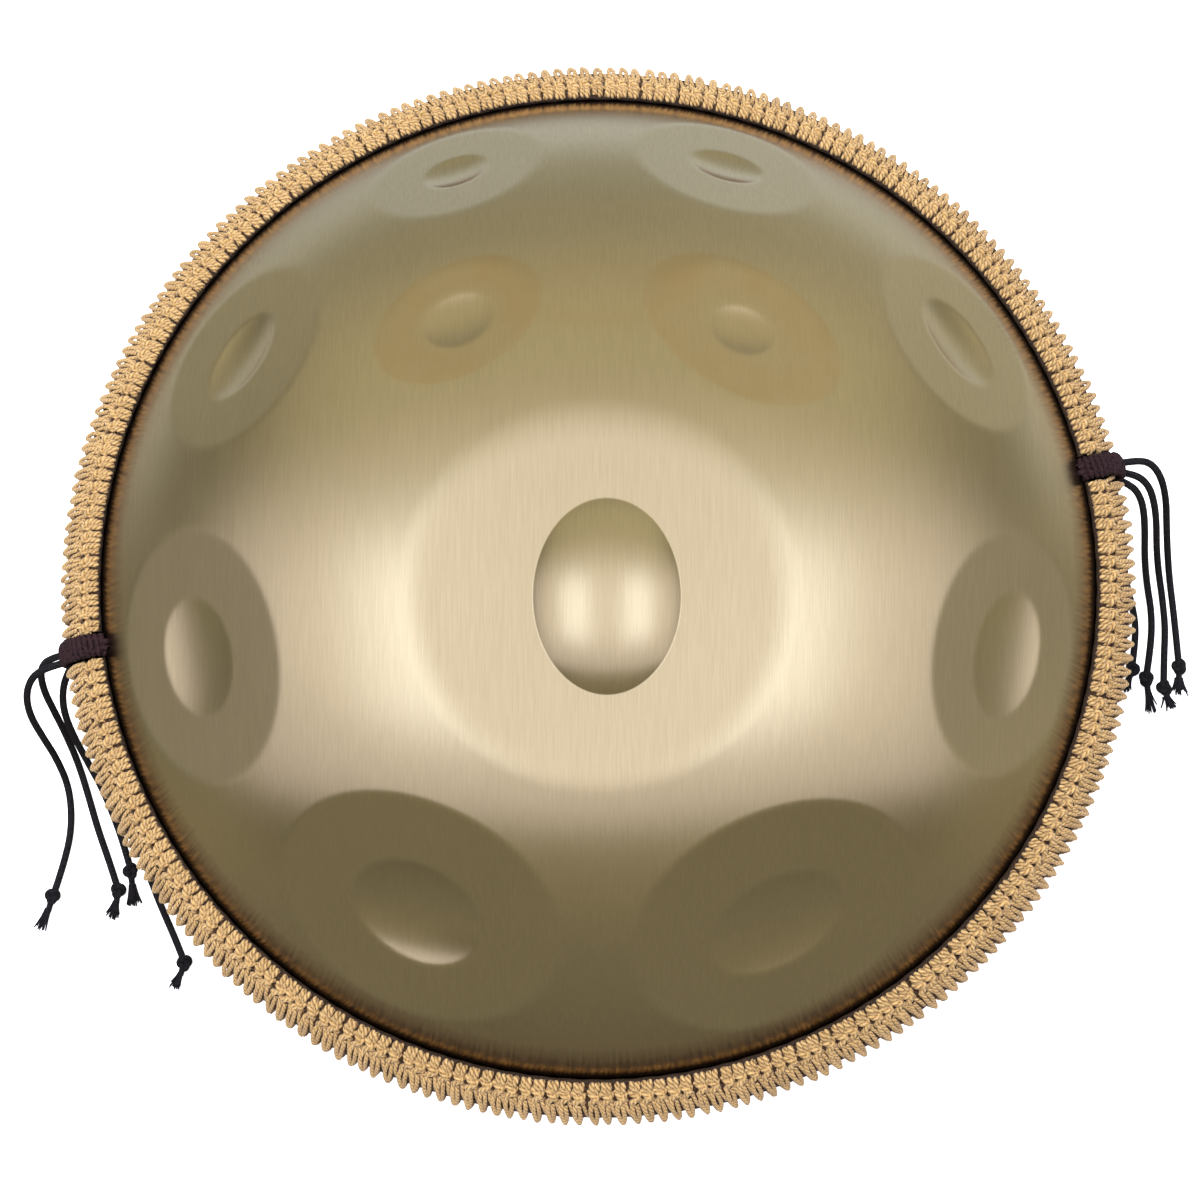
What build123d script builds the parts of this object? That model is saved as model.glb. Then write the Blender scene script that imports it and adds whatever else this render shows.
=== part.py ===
from build123d import *
import os
from math import asin, atan, cos, hypot, pi, radians, sin, tan

# A handpan: two dished steel shells glued at a flat rim, with a knotted rope band laced round
# the rim by four drawcords. Millimetres. +Z is up, the playing side is up, and the origin is the
# centre of the flat land that the bottom shell rests on. The player sits on the -Y side.

# ---- driving dimensions -------------------------------------------------------------------
SHEET = 1.2                 # steel thickness
GLUE = 0.3                  # adhesive between the two flanges
RIM_Z = 118.0               # height of the seam above the floor
FLANGE_R = 281.0            # outer radius of the steel
DOME_R = 268.0              # radius of each dome where it meets the flange
TOP_H = 118.0               # top dome, seam to crown, before the crown is flattened
BOTTOM_H = 120.0            # bottom dome, seam to crown, before the port is cut
PROFILE_POWER = 2.5         # shape of the dome's curve: z = H * (1 - (r / R) ** 2.5) ** (1 / 1.4)
PROFILE_ROOT = 1.4
PROFILE_STEPS = 14

PORT_R = 48.0               # port in the bottom shell, with its neck turned inwards
PORT_LIP_R = 6.0            # rounding from the flat land into the neck
PORT_NECK = 16.0            # straight length of the neck

# tone fields round the centre: azimuth, radius of the dimple's centre, half width of the flat
# down the slope, half axes and depth of the dimple, turn of the dimple's long axis
TONE_FIELDS = [
    ("back_left", 109.8, 221.0, 36.0, 17.5, 13.0, 1.9, 0.0),
    ("back_right", 72.0, 221.5, 38.0, 20.0, 13.0, 1.9, 2.0),
    ("side_left_far", 150.2, 214.0, 43.0, 26.0, 15.5, 2.2, -1.0),
    ("side_right_far", 31.2, 220.5, 42.0, 27.0, 16.5, 2.3, 2.0),
    ("side_left_near", 194.3, 212.0, 51.5, 30.0, 21.8, 2.9, -1.0),
    ("side_right_near", -13.9, 216.0, 49.0, 32.5, 21.3, 2.8, -1.0),
    ("front_left", -116.5, 205.5, 55.5, 34.5, 26.5, 4.2, -3.0),
    ("front_right", -64.7, 209.5, 60.0, 36.5, 24.5, 2.4, 5.0),
    ("inner_left", 121.8, 133.0, 31.0, 19.0, 15.0, 1.8, -5.0),
    ("inner_right", 56.0, 129.5, 35.0, 17.2, 13.5, 1.7, 9.0),
]
DIMPLE_SHARPNESS = 0.80     # height of the dimple tool's centre over its own half height

CROWN_X, CROWN_Y = 4.0, -30.0       # centre of the central note
CROWN_Z = 111.4                     # height of its flat above the seam
CROWN_TILT = 3.0                    # degrees, towards the player
DING_LONG, DING_SHORT = 48.0, 36.0  # half axes of the raised ding
DING_H = 9.0
DING_SHARPNESS = 0.6

# rope band and its ties
TIE_LEFT, TIE_RIGHT = 188.3, 12.0   # azimuths of the two sliding tie knots
TIE_HALF_ANGLE = 1.55
CORD_D = 4.0                # free ends, lying slack
DRAWCORD_D = 3.2            # the same cord drawn tight round the rim
DRAWCORD_R, DRAWCORD_Z = 263.6, 15.6
END_KNOT_R = 4.0

ROPE_INNER = [(264.3, 12.6), (267.2, 5.0), (268.4, 1.9), (281.7, 1.9)]
ROPE_OUTER = [(265.6, 16.2), (273.5, 15.6), (281.0, 10.0), (284.3, 0.0)]
TIE_INNER = [(261.0, 19.2)] + ROPE_INNER
TIE_OUTER = [(264.5, 20.6), (275.0, 19.4), (284.6, 12.0), (288.0, 0.0)]

# free ends of the drawcords: they leave a tie knot, fall to the floor and lie towards the
# player. Each route is followed by the centre of its end knot and the tip of the frayed end.
TAILS = {
    "left_a": ([(-283, -45.5, 120), (-292, -48, 120.5), (-301, -52, 114), (-308, -59, 96),
                (-311, -67, 72), (-310, -75, 46), (-307, -85, 20), (-303, -100, 3),
                (-301, -121, 2.0), (-304, -140, 2.0), (-309, -157.5, 3)],
               (-310.2, -161.5), (-316, -181)),
    "left_b": ([(-284, -40, 113), (-293, -41.5, 111), (-300, -46, 100), (-302.5, -54, 79),
                (-301.5, -63, 54), (-300, -73, 29), (-297, -87, 8), (-292, -105, 2.0),
                (-286, -124, 2.0), (-279, -142, 2.0), (-274.5, -154.5, 3)],
               (-273, -158.3), (-276, -175)),
    "left_c": ([(-280, -42.5, 107), (-285, -47, 99), (-291, -54, 84), (-295, -63, 62),
                (-295, -73, 37), (-291, -86, 13), (-284, -101, 2.0), (-277, -117, 2.0),
                (-272, -130, 2.0), (-267.5, -143.5, 3)],
               (-266.4, -147.4), (-264, -168)),
    "left_d": ([(-275, -40.5, 104), (-277, -44, 94.5), (-281, -51, 79), (-283, -60, 57),
                (-282, -71, 32), (-278, -85, 10), (-271, -103, 2.0), (-264, -124, 2.0),
                (-258, -145, 2.0), (-250, -165, 2.0), (-241, -184, 2.0), (-236, -195.5, 3)],
               (-234.4, -199.2), (-240, -215)),
    "right_a": ([(273.5, 55, 104), (278, 51.5, 95), (285, 46, 80), (291.5, 40, 59),
                 (297, 33, 35), (302.5, 24, 13), (308, 11, 2.0), (311, -5, 2.0),
                 (310, -19, 2.0), (308, -29.5, 3)],
                (307.3, -33.4), (303, -47)),
    "right_b": ([(280, 55, 109), (288.5, 52.5, 106), (296, 48.5, 94), (302, 43, 75),
                 (307.5, 36, 50), (312.5, 28, 25), (317.5, 16, 6), (320.5, 0, 2.0),
                 (319.5, -18, 2.0), (316, -35, 3)],
                (315.2, -38.9), (318, -59)),
    "right_c": ([(281, 57.5, 114), (290, 57, 112), (299, 53, 102), (306, 47.5, 83),
                 (312.5, 41, 58), (318, 34, 32), (323.5, 24, 10), (327, 9, 2.0),
                 (328, -9, 2.0), (326.5, -26, 2.0), (325.5, -40, 3)],
                (325.2, -44), (329.5, -57)),
    "right_d": ([(280, 61, 121), (289, 62.5, 121.5), (298, 62, 116), (306.5, 57, 101),
                 (314, 50, 77), (320, 42, 50), (326, 33, 24), (331, 20, 4.5),
                 (333, 3, 2.0), (334, -14, 2.0), (334.5, -28, 3)],
                (334.5, -32), (334, -49)),
}


# ---- the dome's curve ---------------------------------------------------------------------
def dome_point(step, height):
    """Point (r, z) of the dome's outer curve; step runs from 0 at the crown to 1 at the rim."""
    angle = step * pi / 2
    return (DOME_R * sin(angle) ** (2 / PROFILE_POWER),
            height * cos(angle) ** (2 / PROFILE_ROOT))


def dome_z(r, height):
    return height * (1 - (r / DOME_R) ** PROFILE_POWER) ** (1 / PROFILE_ROOT)


def dome_slope(r, height):
    """Downward slope angle of the dome at radius r, in radians."""
    return atan((dome_z(r - 0.5, height) - dome_z(r + 0.5, height)) / 1.0)


def meridian_radius(r, height):
    """Radius of curvature down the slope."""
    turn = dome_slope(r + 2, height) - dome_slope(r - 2, height)
    return hypot(4, dome_z(r - 2, height) - dome_z(r + 2, height)) / turn


def dome_curve(height, inset, first=0.0, last=1.0):
    """Points of the dome's curve from step first to step last, moved inwards by inset."""
    points = []
    for i in range(PROFILE_STEPS + 1):
        step = first + (last - first) * i / PROFILE_STEPS
        r, z = dome_point(step, height)
        if inset:
            slope = pi / 2 if step > 0.999 else (dome_slope(r, height) if r > 1 else 0.0)
            r, z = r - inset * sin(slope), z - inset * cos(slope)
        points.append((max(r, 0.0), z))
    return points


def dome_body(height, inset):
    """The solid under the dome's curve, down to the seam."""
    points = dome_curve(height, inset)
    curve = Spline(*[(r, 0, z) for r, z in points], tangents=[(1, 0, 0), (0, 0, -1)])
    base_r = points[-1][0]
    edges = [curve,
             Line((base_r, 0, 0), (0, 0, 0)),
             Line((0, 0, 0), (0, 0, points[0][1]))]
    return revolve(make_face(edges), Axis.Z)


def ring(inner_r, outer_r, low, high):
    """A flat ring between two heights."""
    height = high - low
    body = Cylinder(outer_r, height) - Cylinder(inner_r, height)
    return Pos(0, 0, (low + high) / 2) * body


def field_plane(azimuth, radius, sink):
    """Plane of a tone field: z along the dome's normal, x along the ring, sunk by sink."""
    a = radians(azimuth)
    slope = dome_slope(radius, TOP_H)
    normal = Vector(sin(slope) * cos(a), sin(slope) * sin(a), cos(slope))
    point = Vector(radius * cos(a), radius * sin(a), dome_z(radius, TOP_H))
    return Plane(origin=point - normal * sink, x_dir=(-sin(a), cos(a), 0), z_dir=normal)


def ellipsoid(long, short, high):
    return scale(Sphere(1), by=(long, short, high))


# ---- top shell ----------------------------------------------------------------------------
def playing_surface(inset):
    """The top dome with its flats, ding and dimples, every face moved inwards by inset."""
    body = dome_body(TOP_H, inset)

    crown = Plane(origin=(CROWN_X, CROWN_Y, CROWN_Z), x_dir=(0, 1, 0),
                  z_dir=(0, -sin(radians(CROWN_TILT)), cos(radians(CROWN_TILT))))
    body -= crown * Pos(0, 0, 30 - inset) * Box(260, 260, 60)
    for _, azimuth, radius, short, _, _, _, _ in TONE_FIELDS:
        sink = short ** 2 / (2 * meridian_radius(radius, TOP_H))
        flat = field_plane(azimuth, radius, sink + inset)
        body -= flat * Pos(0, 0, 30) * Box(240, 240, 60)

    ding_tool_h = DING_H / (1 - DING_SHARPNESS)
    widen = 1 / (1 - DING_SHARPNESS ** 2) ** 0.5
    ding = ellipsoid(DING_LONG * widen - inset, DING_SHORT * widen - inset, ding_tool_h - inset)
    body += crown * Pos(0, 0, -DING_SHARPNESS * ding_tool_h) * ding

    for _, azimuth, radius, short, dimple_long, dimple_short, depth, turn in TONE_FIELDS:
        sink = short ** 2 / (2 * meridian_radius(radius, TOP_H))
        tool_h = depth / (1 - DIMPLE_SHARPNESS)
        widen = 1 / (1 - DIMPLE_SHARPNESS ** 2) ** 0.5
        tool = ellipsoid(dimple_long * widen + inset, dimple_short * widen + inset,
                         tool_h + inset)
        flat = field_plane(azimuth, radius, sink)
        body -= flat * Rot(0, 0, turn) * Pos(0, 0, DIMPLE_SHARPNESS * tool_h) * tool
    return body


def top_shell():
    shell = playing_surface(0.0) - playing_surface(SHEET)
    shell += ring(DOME_R - SHEET, FLANGE_R, 0, GLUE / 2 + SHEET)
    shell -= ring(DOME_R - 40, FLANGE_R + 10, -1, GLUE / 2)
    return shell


# ---- bottom shell -------------------------------------------------------------------------
def bottom_shell():
    """One revolved section: flange, dome, flat land, rounded lip and inward neck."""
    land = -RIM_Z
    seam = -GLUE / 2
    land_r = DOME_R * (1 - (RIM_Z / BOTTOM_H) ** PROFILE_ROOT) ** (1 / PROFILE_POWER)
    first = 2 / pi * asin((land_r / DOME_R) ** (PROFILE_POWER / 2))
    outer = [(r, -z) for r, z in dome_curve(BOTTOM_H, 0.0, first, 1.0)]
    inner = [(r, -z) for r, z in dome_curve(BOTTOM_H, SHEET, first, 1.0)]
    outer[-1] = (DOME_R, seam - SHEET)
    inner[0] = (inner[0][0], land + SHEET)
    inner[-1] = (DOME_R - SHEET, seam)
    lip_top = land + PORT_LIP_R
    neck_top = lip_top + PORT_NECK
    lip_out = PORT_R + PORT_LIP_R
    bend = PORT_LIP_R * (1 - cos(pi / 4))
    thin = (PORT_LIP_R - SHEET) * (1 - cos(pi / 4))

    def at(r, z):
        return (r, 0, z)

    edges = [
        Spline(*[at(r, z) for r, z in outer]),
        Line(at(*outer[0]), at(lip_out, land)),
        ThreePointArc(at(lip_out, land), at(PORT_R + bend, land + bend), at(PORT_R, lip_top)),
        Line(at(PORT_R, lip_top), at(PORT_R, neck_top)),
        Line(at(PORT_R, neck_top), at(PORT_R + SHEET, neck_top)),
        Line(at(PORT_R + SHEET, neck_top), at(PORT_R + SHEET, lip_top)),
        ThreePointArc(at(PORT_R + SHEET, lip_top),
                      at(PORT_R + SHEET + thin, land + SHEET + thin),
                      at(lip_out, land + SHEET)),
        Line(at(lip_out, land + SHEET), at(*inner[0])),
        Spline(*[at(r, z) for r, z in inner]),
        Line(at(*inner[-1]), at(FLANGE_R, seam)),
        Line(at(FLANGE_R, seam), at(FLANGE_R, seam - SHEET)),
        Line(at(FLANGE_R, seam - SHEET), at(*outer[-1])),
    ]
    return revolve(make_face(edges), Axis.Z)


# ---- rope band, tie knots and cords -------------------------------------------------------
def c_section(inner, outer):
    """A C-shaped section round the flange, mirrored about the seam."""
    lower_inner = [(r, -z) for r, z in reversed(inner)]
    lower_outer = [(r, -z) for r, z in reversed(outer[:-1])]
    curve = Spline(*[(r, 0, z) for r, z in outer + lower_outer])
    line = Polyline(*[(r, 0, z) for r, z in
                      [outer[0]] + inner + lower_inner + [(outer[0][0], -outer[0][1])]])
    return make_face([curve, line])


def swept_round(face, start, end):
    """Turn a section about the vertical axis from azimuth start to azimuth end."""
    return Rot(0, 0, start) * revolve(face, Axis.Z, revolution_arc=end - start)


def rope_band(start, end):
    face = c_section(ROPE_INNER, ROPE_OUTER)
    return swept_round(face, start + TIE_HALF_ANGLE, end - TIE_HALF_ANGLE)


def drawcord(start, end, side):
    spot = Plane(origin=(DRAWCORD_R, 0, side * DRAWCORD_Z), z_dir=(0, -1, 0))
    face = spot * Circle(DRAWCORD_D / 2)
    return swept_round(face, start + TIE_HALF_ANGLE, end - TIE_HALF_ANGLE)


def tail_path(points):
    """Straight runs joined by tangent arcs, as wide as the shorter run beside them allows."""
    spots = [Vector(*p) for p in points]
    radii = []
    for before, here, after in zip(spots, spots[1:], spots[2:]):
        turn = radians((here - before).get_angle(after - here))
        shorter = min((here - before).length, (after - here).length)
        radii.append(0.45 * shorter / tan(turn / 2))
    return FilletPolyline(*spots, radius=radii), radii


def tail(name, points):
    path, radii = tail_path(points)
    section = Plane(origin=path @ 0, z_dir=path % 0) * Circle(CORD_D / 2)
    tube = sweep(section, path=path)
    expected = pi * CORD_D ** 2 / 4 * path.length
    print(f"tail_{name}: length {path.length:.1f} mm, radii",
          " ".join(f"{r:.0f}" for r in radii), f"volume / expected {tube.volume / expected:.4f}")
    return tube


def end_knot(centre, tip, cord):
    """A round stopper knot with the frayed end of the cord beyond it, lying on the floor."""
    ball = Pos(centre[0], centre[1], END_KNOT_R) * Sphere(END_KNOT_R)
    start = Vector(centre[0], centre[1], 2.9)
    along = Vector(tip[0] - centre[0], tip[1] - centre[1], 0)
    fray = Cone(CORD_D / 2, 2.8, along.length, align=(Align.CENTER, Align.CENTER, Align.MIN))
    return ball + Plane(origin=start, z_dir=along) * fray - cord


# ---- build --------------------------------------------------------------------------------
os.makedirs("parts", exist_ok=True)
far = (TIE_RIGHT, TIE_LEFT)
near = (TIE_LEFT, TIE_RIGHT + 360)
at_rim = Pos(0, 0, RIM_Z)
parts = {
    "top_shell": at_rim * top_shell(),
    "bottom_shell": at_rim * bottom_shell(),
    "seam_adhesive": at_rim * ring(DOME_R - SHEET, FLANGE_R, -GLUE / 2, GLUE / 2),
    "rope_band_far": at_rim * rope_band(*far),
    "rope_band_near": at_rim * rope_band(*near),
    "drawcord_upper_far": at_rim * drawcord(*far, 1),
    "drawcord_upper_near": at_rim * drawcord(*near, 1),
    "drawcord_lower_far": at_rim * drawcord(*far, -1),
    "drawcord_lower_near": at_rim * drawcord(*near, -1),
}
tie_face = c_section(TIE_INNER, TIE_OUTER)
for side, azimuth in (("left", TIE_LEFT), ("right", TIE_RIGHT)):
    tie = at_rim * swept_round(tie_face, azimuth - TIE_HALF_ANGLE, azimuth + TIE_HALF_ANGLE)
    for name, (points, centre, tip) in TAILS.items():
        if name.startswith(side):
            cord = tail(name, points)
            tie -= cord
            parts["tail_" + name] = cord
            parts["end_knot_" + name] = end_knot(centre, tip, cord)
    parts["slide_knot_" + side] = tie

for name, shape in parts.items():
    export_step(shape, f"parts/{name}.step")
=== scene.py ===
from math import cos, pi, radians, sin

import bpy
import numpy as np
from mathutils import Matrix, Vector


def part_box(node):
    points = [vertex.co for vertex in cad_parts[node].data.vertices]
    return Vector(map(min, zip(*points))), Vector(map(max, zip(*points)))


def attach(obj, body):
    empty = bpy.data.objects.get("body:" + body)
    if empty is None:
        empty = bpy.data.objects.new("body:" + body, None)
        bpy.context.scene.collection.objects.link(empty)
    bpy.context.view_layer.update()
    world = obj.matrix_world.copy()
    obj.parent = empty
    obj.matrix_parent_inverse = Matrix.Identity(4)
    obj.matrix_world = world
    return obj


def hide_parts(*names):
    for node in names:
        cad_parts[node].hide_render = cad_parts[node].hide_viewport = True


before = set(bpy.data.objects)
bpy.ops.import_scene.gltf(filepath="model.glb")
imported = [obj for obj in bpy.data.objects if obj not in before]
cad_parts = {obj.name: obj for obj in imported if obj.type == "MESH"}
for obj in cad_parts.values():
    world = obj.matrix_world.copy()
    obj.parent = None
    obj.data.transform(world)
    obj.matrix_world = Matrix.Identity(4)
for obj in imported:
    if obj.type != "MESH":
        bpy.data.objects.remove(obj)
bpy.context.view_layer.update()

MM = 0.001
SEED = 7

# ---- places read from the frame -----------------------------------------------------------
rim_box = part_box("seam_adhesive")
RIM_Z = (rim_box[0].z + rim_box[1].z) / 2
FLANGE_R = rim_box[1].x

# ---- camera -------------------------------------------------------------------------------
CAMERA_TILT = radians(10.6)          # from straight above, towards the player's side
CAMERA_DISTANCE = 1.300              # from the centre of the rim
CAMERA_LENS = 73.2                   # mm, for a 36 mm sensor
CAMERA_AIM = Vector((0.0007, -0.0121, RIM_Z))


def make_camera():
    data = bpy.data.cameras.new("camera")
    data.lens = CAMERA_LENS
    data.sensor_width = 36.0
    data.clip_end = 50.0
    camera = bpy.data.objects.new("camera", data)
    bpy.context.scene.collection.objects.link(camera)
    back = Vector((0.0, -sin(CAMERA_TILT), cos(CAMERA_TILT)))
    camera.location = Vector((0.0, 0.0, RIM_Z)) + back * CAMERA_DISTANCE
    camera.rotation_euler = (CAMERA_AIM - camera.location).to_track_quat("-Z", "Y").to_euler()
    bpy.context.scene.camera = camera


# ---- small helpers ------------------------------------------------------------------------
def new_mesh_object(name, verts, faces, material, smooth=True):
    """A mesh object from an (n, 3) array of points in metres and a list or array of faces."""
    mesh = bpy.data.meshes.new(name)
    mesh.from_pydata(np.asarray(verts, float).tolist(), [], np.asarray(faces).tolist())
    mesh.validate()
    if smooth:
        mesh.polygons.foreach_set("use_smooth", [True] * len(mesh.polygons))
    mesh.materials.append(material)
    mesh.update()
    obj = bpy.data.objects.new(name, mesh)
    bpy.context.scene.collection.objects.link(obj)
    return obj


def place(obj, slot, *nodes):
    """Ride on the one body and stand for the CAD nodes given; slot is not used."""
    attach(obj, "root")
    if nodes:
        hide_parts(*nodes)
    return obj


def grid_faces(rows, columns, closed=True):
    """Quads of a grid stored row by row; closed joins the last column to the first."""
    r = np.arange(rows - 1)[:, None]
    c = np.arange(columns if closed else columns - 1)[None, :]
    n = (c + 1) % columns
    a = r * columns + c
    b = r * columns + n
    return np.stack([a, b, b + columns, a + columns], -1).reshape(-1, 4)


class Nodes:
    """Short calls for building a material's node tree."""

    def __init__(self, material):
        material.use_nodes = True
        self.tree = material.node_tree
        self.bsdf = next(n for n in self.tree.nodes if n.type == "BSDF_PRINCIPLED")

    def add(self, kind, inputs=(), **settings):
        node = self.tree.nodes.new(kind)
        for key, value in settings.items():
            setattr(node, key, value)
        for key, value in dict(inputs).items():
            if isinstance(value, bpy.types.NodeSocket):
                self.tree.links.new(value, node.inputs[key])
            else:
                node.inputs[key].default_value = value
        return node

    def link(self, output, socket):
        self.tree.links.new(output, socket)

    def noise(self, vector, scale, detail=2.0, roughness=0.5):
        return self.add("ShaderNodeTexNoise", {"Vector": vector, "Scale": scale, "Detail": detail,
                                               "Roughness": roughness}).outputs["Fac"]

    def stretched(self, vector, scale):
        return self.add("ShaderNodeMapping", {"Vector": vector, "Scale": scale}).outputs["Vector"]

    def ramp(self, factor, stops):
        node = self.add("ShaderNodeValToRGB", {"Fac": factor})
        elements = node.color_ramp.elements
        while len(elements) < len(stops):
            elements.new(0.5)
        for element, (position, colour) in zip(elements, stops):
            element.position = position
            element.color = (*colour, 1.0)
        return node.outputs["Color"]

    def mix(self, factor, a, b, blend="MIX"):
        node = self.add("ShaderNodeMix", data_type="RGBA", blend_type=blend)
        for key, value in ((0, factor), (6, a), (7, b)):
            if isinstance(value, bpy.types.NodeSocket):
                self.link(value, node.inputs[key])
            else:
                node.inputs[key].default_value = value if key == 0 else (*value, 1.0)
        return node.outputs[2]


def new_material(name):
    material = bpy.data.materials.new(name)
    return material, Nodes(material)


# ---- shells -------------------------------------------------------------------------------
# Millimetres, with z measured from the seam between the two shells.
SHEET = 1.2
DOME_R = 268.0
TOP_H = 118.0
BOTTOM_H = 120.0
PROFILE_POWER = 2.5
PROFILE_ROOT = 1.4
SEAM_GAP = 0.15
PORT_R, PORT_LIP_R, PORT_NECK = 48.0, 6.0, 16.0

# tone fields: azimuth, radius, half width down the slope, half axes and depth of the dimple,
# turn of its long axis
TONE_FIELDS = [
    (109.8, 221.0, 36.0, 17.5, 13.0, 1.9, 0.0),
    (72.0, 221.5, 38.0, 20.0, 13.0, 1.9, 2.0),
    (150.2, 214.0, 43.0, 26.0, 15.5, 2.2, -1.0),
    (31.2, 220.5, 42.0, 27.0, 16.5, 2.3, 2.0),
    (194.3, 212.0, 51.5, 30.0, 21.8, 2.9, -1.0),
    (-13.9, 216.0, 49.0, 32.5, 21.3, 2.8, -1.0),
    (-116.5, 205.5, 59.0, 34.5, 26.5, 4.2, -3.0),
    (-64.7, 209.5, 60.0, 36.5, 24.5, 2.4, 5.0),
    (121.8, 133.0, 31.0, 19.0, 15.0, 1.8, -5.0),
    (56.0, 129.5, 35.0, 17.2, 13.5, 1.7, 9.0),
]
DIMPLE_SHARPNESS = 0.80
CROWN = np.array([4.0, -30.0, 111.4])
CROWN_TILT = radians(3.0)
DING_LONG, DING_SHORT, DING_H, DING_SHARPNESS = 48.0, 36.0, 9.0, 0.6
COLUMNS = 840               # points round the shell


def dome_z(r, height):
    return height * np.maximum(1 - (r / DOME_R) ** PROFILE_POWER, 0) ** (1 / PROFILE_ROOT)


def dome_slope(r, height):
    return np.arctan(dome_z(r - 0.5, height) - dome_z(r + 0.5, height))


def meridian_radius(r):
    turn = dome_slope(r + 2, TOP_H) - dome_slope(r - 2, TOP_H)
    return np.hypot(4, dome_z(r - 2, TOP_H) - dome_z(r + 2, TOP_H)) / turn


def dome_curve(height, low, spacing):
    """Points (r, z) of the dome's curve at even spacing, from the crown down to z = low."""
    angle = np.linspace(0, pi / 2, 20001)
    r = DOME_R * np.sin(angle) ** (2 / PROFILE_POWER)
    z = height * np.cos(angle) ** (2 / PROFILE_ROOT)
    keep = z >= low
    r, z = r[keep], z[keep]
    run = np.concatenate([[0], np.cumsum(np.hypot(np.diff(r), np.diff(z)))])
    at = np.linspace(0, run[-1], int(run[-1] / spacing) + 2)
    return np.interp(at, run, r), np.interp(at, run, z)


def soft_plus(value, width):
    """Zero below -width, value above width, and a smooth curve between."""
    return np.where(value > width, value, np.maximum(value + width, 0) ** 2 / (4 * width))


def smooth_step(value, low, high):
    s = np.clip((value - low) / (high - low), 0, 1)
    return s * s * (3 - 2 * s)


def dome_grid():
    """Rings of points on the plain dome: ellipses round the ding that widen into circles."""
    rings = np.concatenate([np.arange(0.02, 36, 1.4), np.arange(36.5, 47, 0.4),
                            np.arange(47.5, 95, 1.5)])
    rim_r, _ = dome_curve(TOP_H, SEAM_GAP + SHEET, 1.5)
    rings = np.concatenate([rings, rim_r[rim_r > 96.0]])[:, None]
    theta = (np.arange(COLUMNS) * 2 * pi / COLUMNS)[None, :]
    oval = 1 / 7 * (1 - smooth_step(rings, 60, 150))
    shift = 1 - smooth_step(rings, 46, 190)
    x = CROWN[0] * shift + rings * (1 - oval) * np.cos(theta)
    y = CROWN[1] * shift + rings * (1 + oval) * np.sin(theta)
    return x, y


def field_frame(azimuth, radius, short):
    """Origin, normal and long axis of a tone field's flat."""
    a = radians(azimuth)
    slope = dome_slope(radius, TOP_H)
    normal = np.array([sin(slope) * cos(a), sin(slope) * sin(a), cos(slope)])
    sink = short ** 2 / (2 * meridian_radius(radius))
    origin = np.array([radius * cos(a), radius * sin(a), dome_z(radius, TOP_H)]) - normal * sink
    return origin, normal, np.array([-sin(a), cos(a), 0.0])


def oval_height(points, origin, normal, along, turn, long, short, high, sharpness):
    """Height of a cap of an ellipsoid over its flat, zero outside its oval outline."""
    across = np.cross(normal, along)
    offset = points - origin
    u, v = offset @ along, offset @ across
    c, s = cos(radians(turn)), sin(radians(turn))
    rho2 = ((c * u + s * v) / long) ** 2 + ((c * v - s * u) / short) ** 2
    near = np.abs(offset @ normal) < 40
    cap = high / (1 - sharpness) * (np.sqrt(np.maximum(1 - (1 - sharpness ** 2) * rho2, 0))
                                    - sharpness)
    return np.where(near, soft_plus(cap, 0.12), 0)


def playing_surface():
    """Points of the top shell's outer surface, as rings by columns by 3."""
    x, y = dome_grid()
    points = np.stack([x, y, dome_z(np.hypot(x, y), TOP_H)], -1)
    crown_normal = np.array([0, -sin(CROWN_TILT), cos(CROWN_TILT)])
    over = soft_plus((points - CROWN) @ crown_normal, 1.5)
    points = points - over[..., None] * crown_normal
    flats = []
    for azimuth, radius, short, dimple_long, dimple_short, depth, turn in TONE_FIELDS:
        flat = field_frame(azimuth, radius, short)
        over = soft_plus((points - flat[0]) @ flat[1], 0.4)
        points = points - over[..., None] * flat[1]
        flats.append((flat, dimple_long, dimple_short, depth, turn))
    for (origin, normal, along), long, short, depth, turn in flats:
        dip = oval_height(points, origin, normal, along, turn, long, short, depth,
                          DIMPLE_SHARPNESS)
        points = points - dip[..., None] * normal
    ding = oval_height(points, CROWN, crown_normal, np.array([0.0, 1.0, 0.0]), 0.0,
                       DING_LONG, DING_SHORT, DING_H, DING_SHARPNESS)
    return points + ding[..., None] * crown_normal


def grid_normals(points):
    down = np.gradient(points, axis=0)
    round_ = np.roll(points, -1, 1) - np.roll(points, 1, 1)
    normal = np.cross(down, round_)
    return normal / np.linalg.norm(normal, axis=-1, keepdims=True)


def lathe_rings(profile, columns=COLUMNS):
    theta = np.arange(columns) * 2 * pi / columns
    r, z = np.asarray(profile, float).T
    return np.stack([r[:, None] * np.cos(theta), r[:, None] * np.sin(theta),
                     z[:, None] + 0 * theta], -1)


def steel_object(name, rows, material, slot, node):
    """One closed skin from rows of points (mm, seam at zero), with the brushing's UV map."""
    points = rows.reshape(-1, 3) * MM + np.array([0, 0, RIM_Z])
    obj = new_mesh_object(name, points, grid_faces(rows.shape[0], rows.shape[1]), material)
    layer = obj.data.uv_layers.new(name="brush")
    index = np.empty(len(obj.data.loops), int)
    obj.data.loops.foreach_get("vertex_index", index)
    layer.data.foreach_set("uv", (points[index, :2] + 0.5).ravel())
    return place(obj, slot, node)


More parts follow.
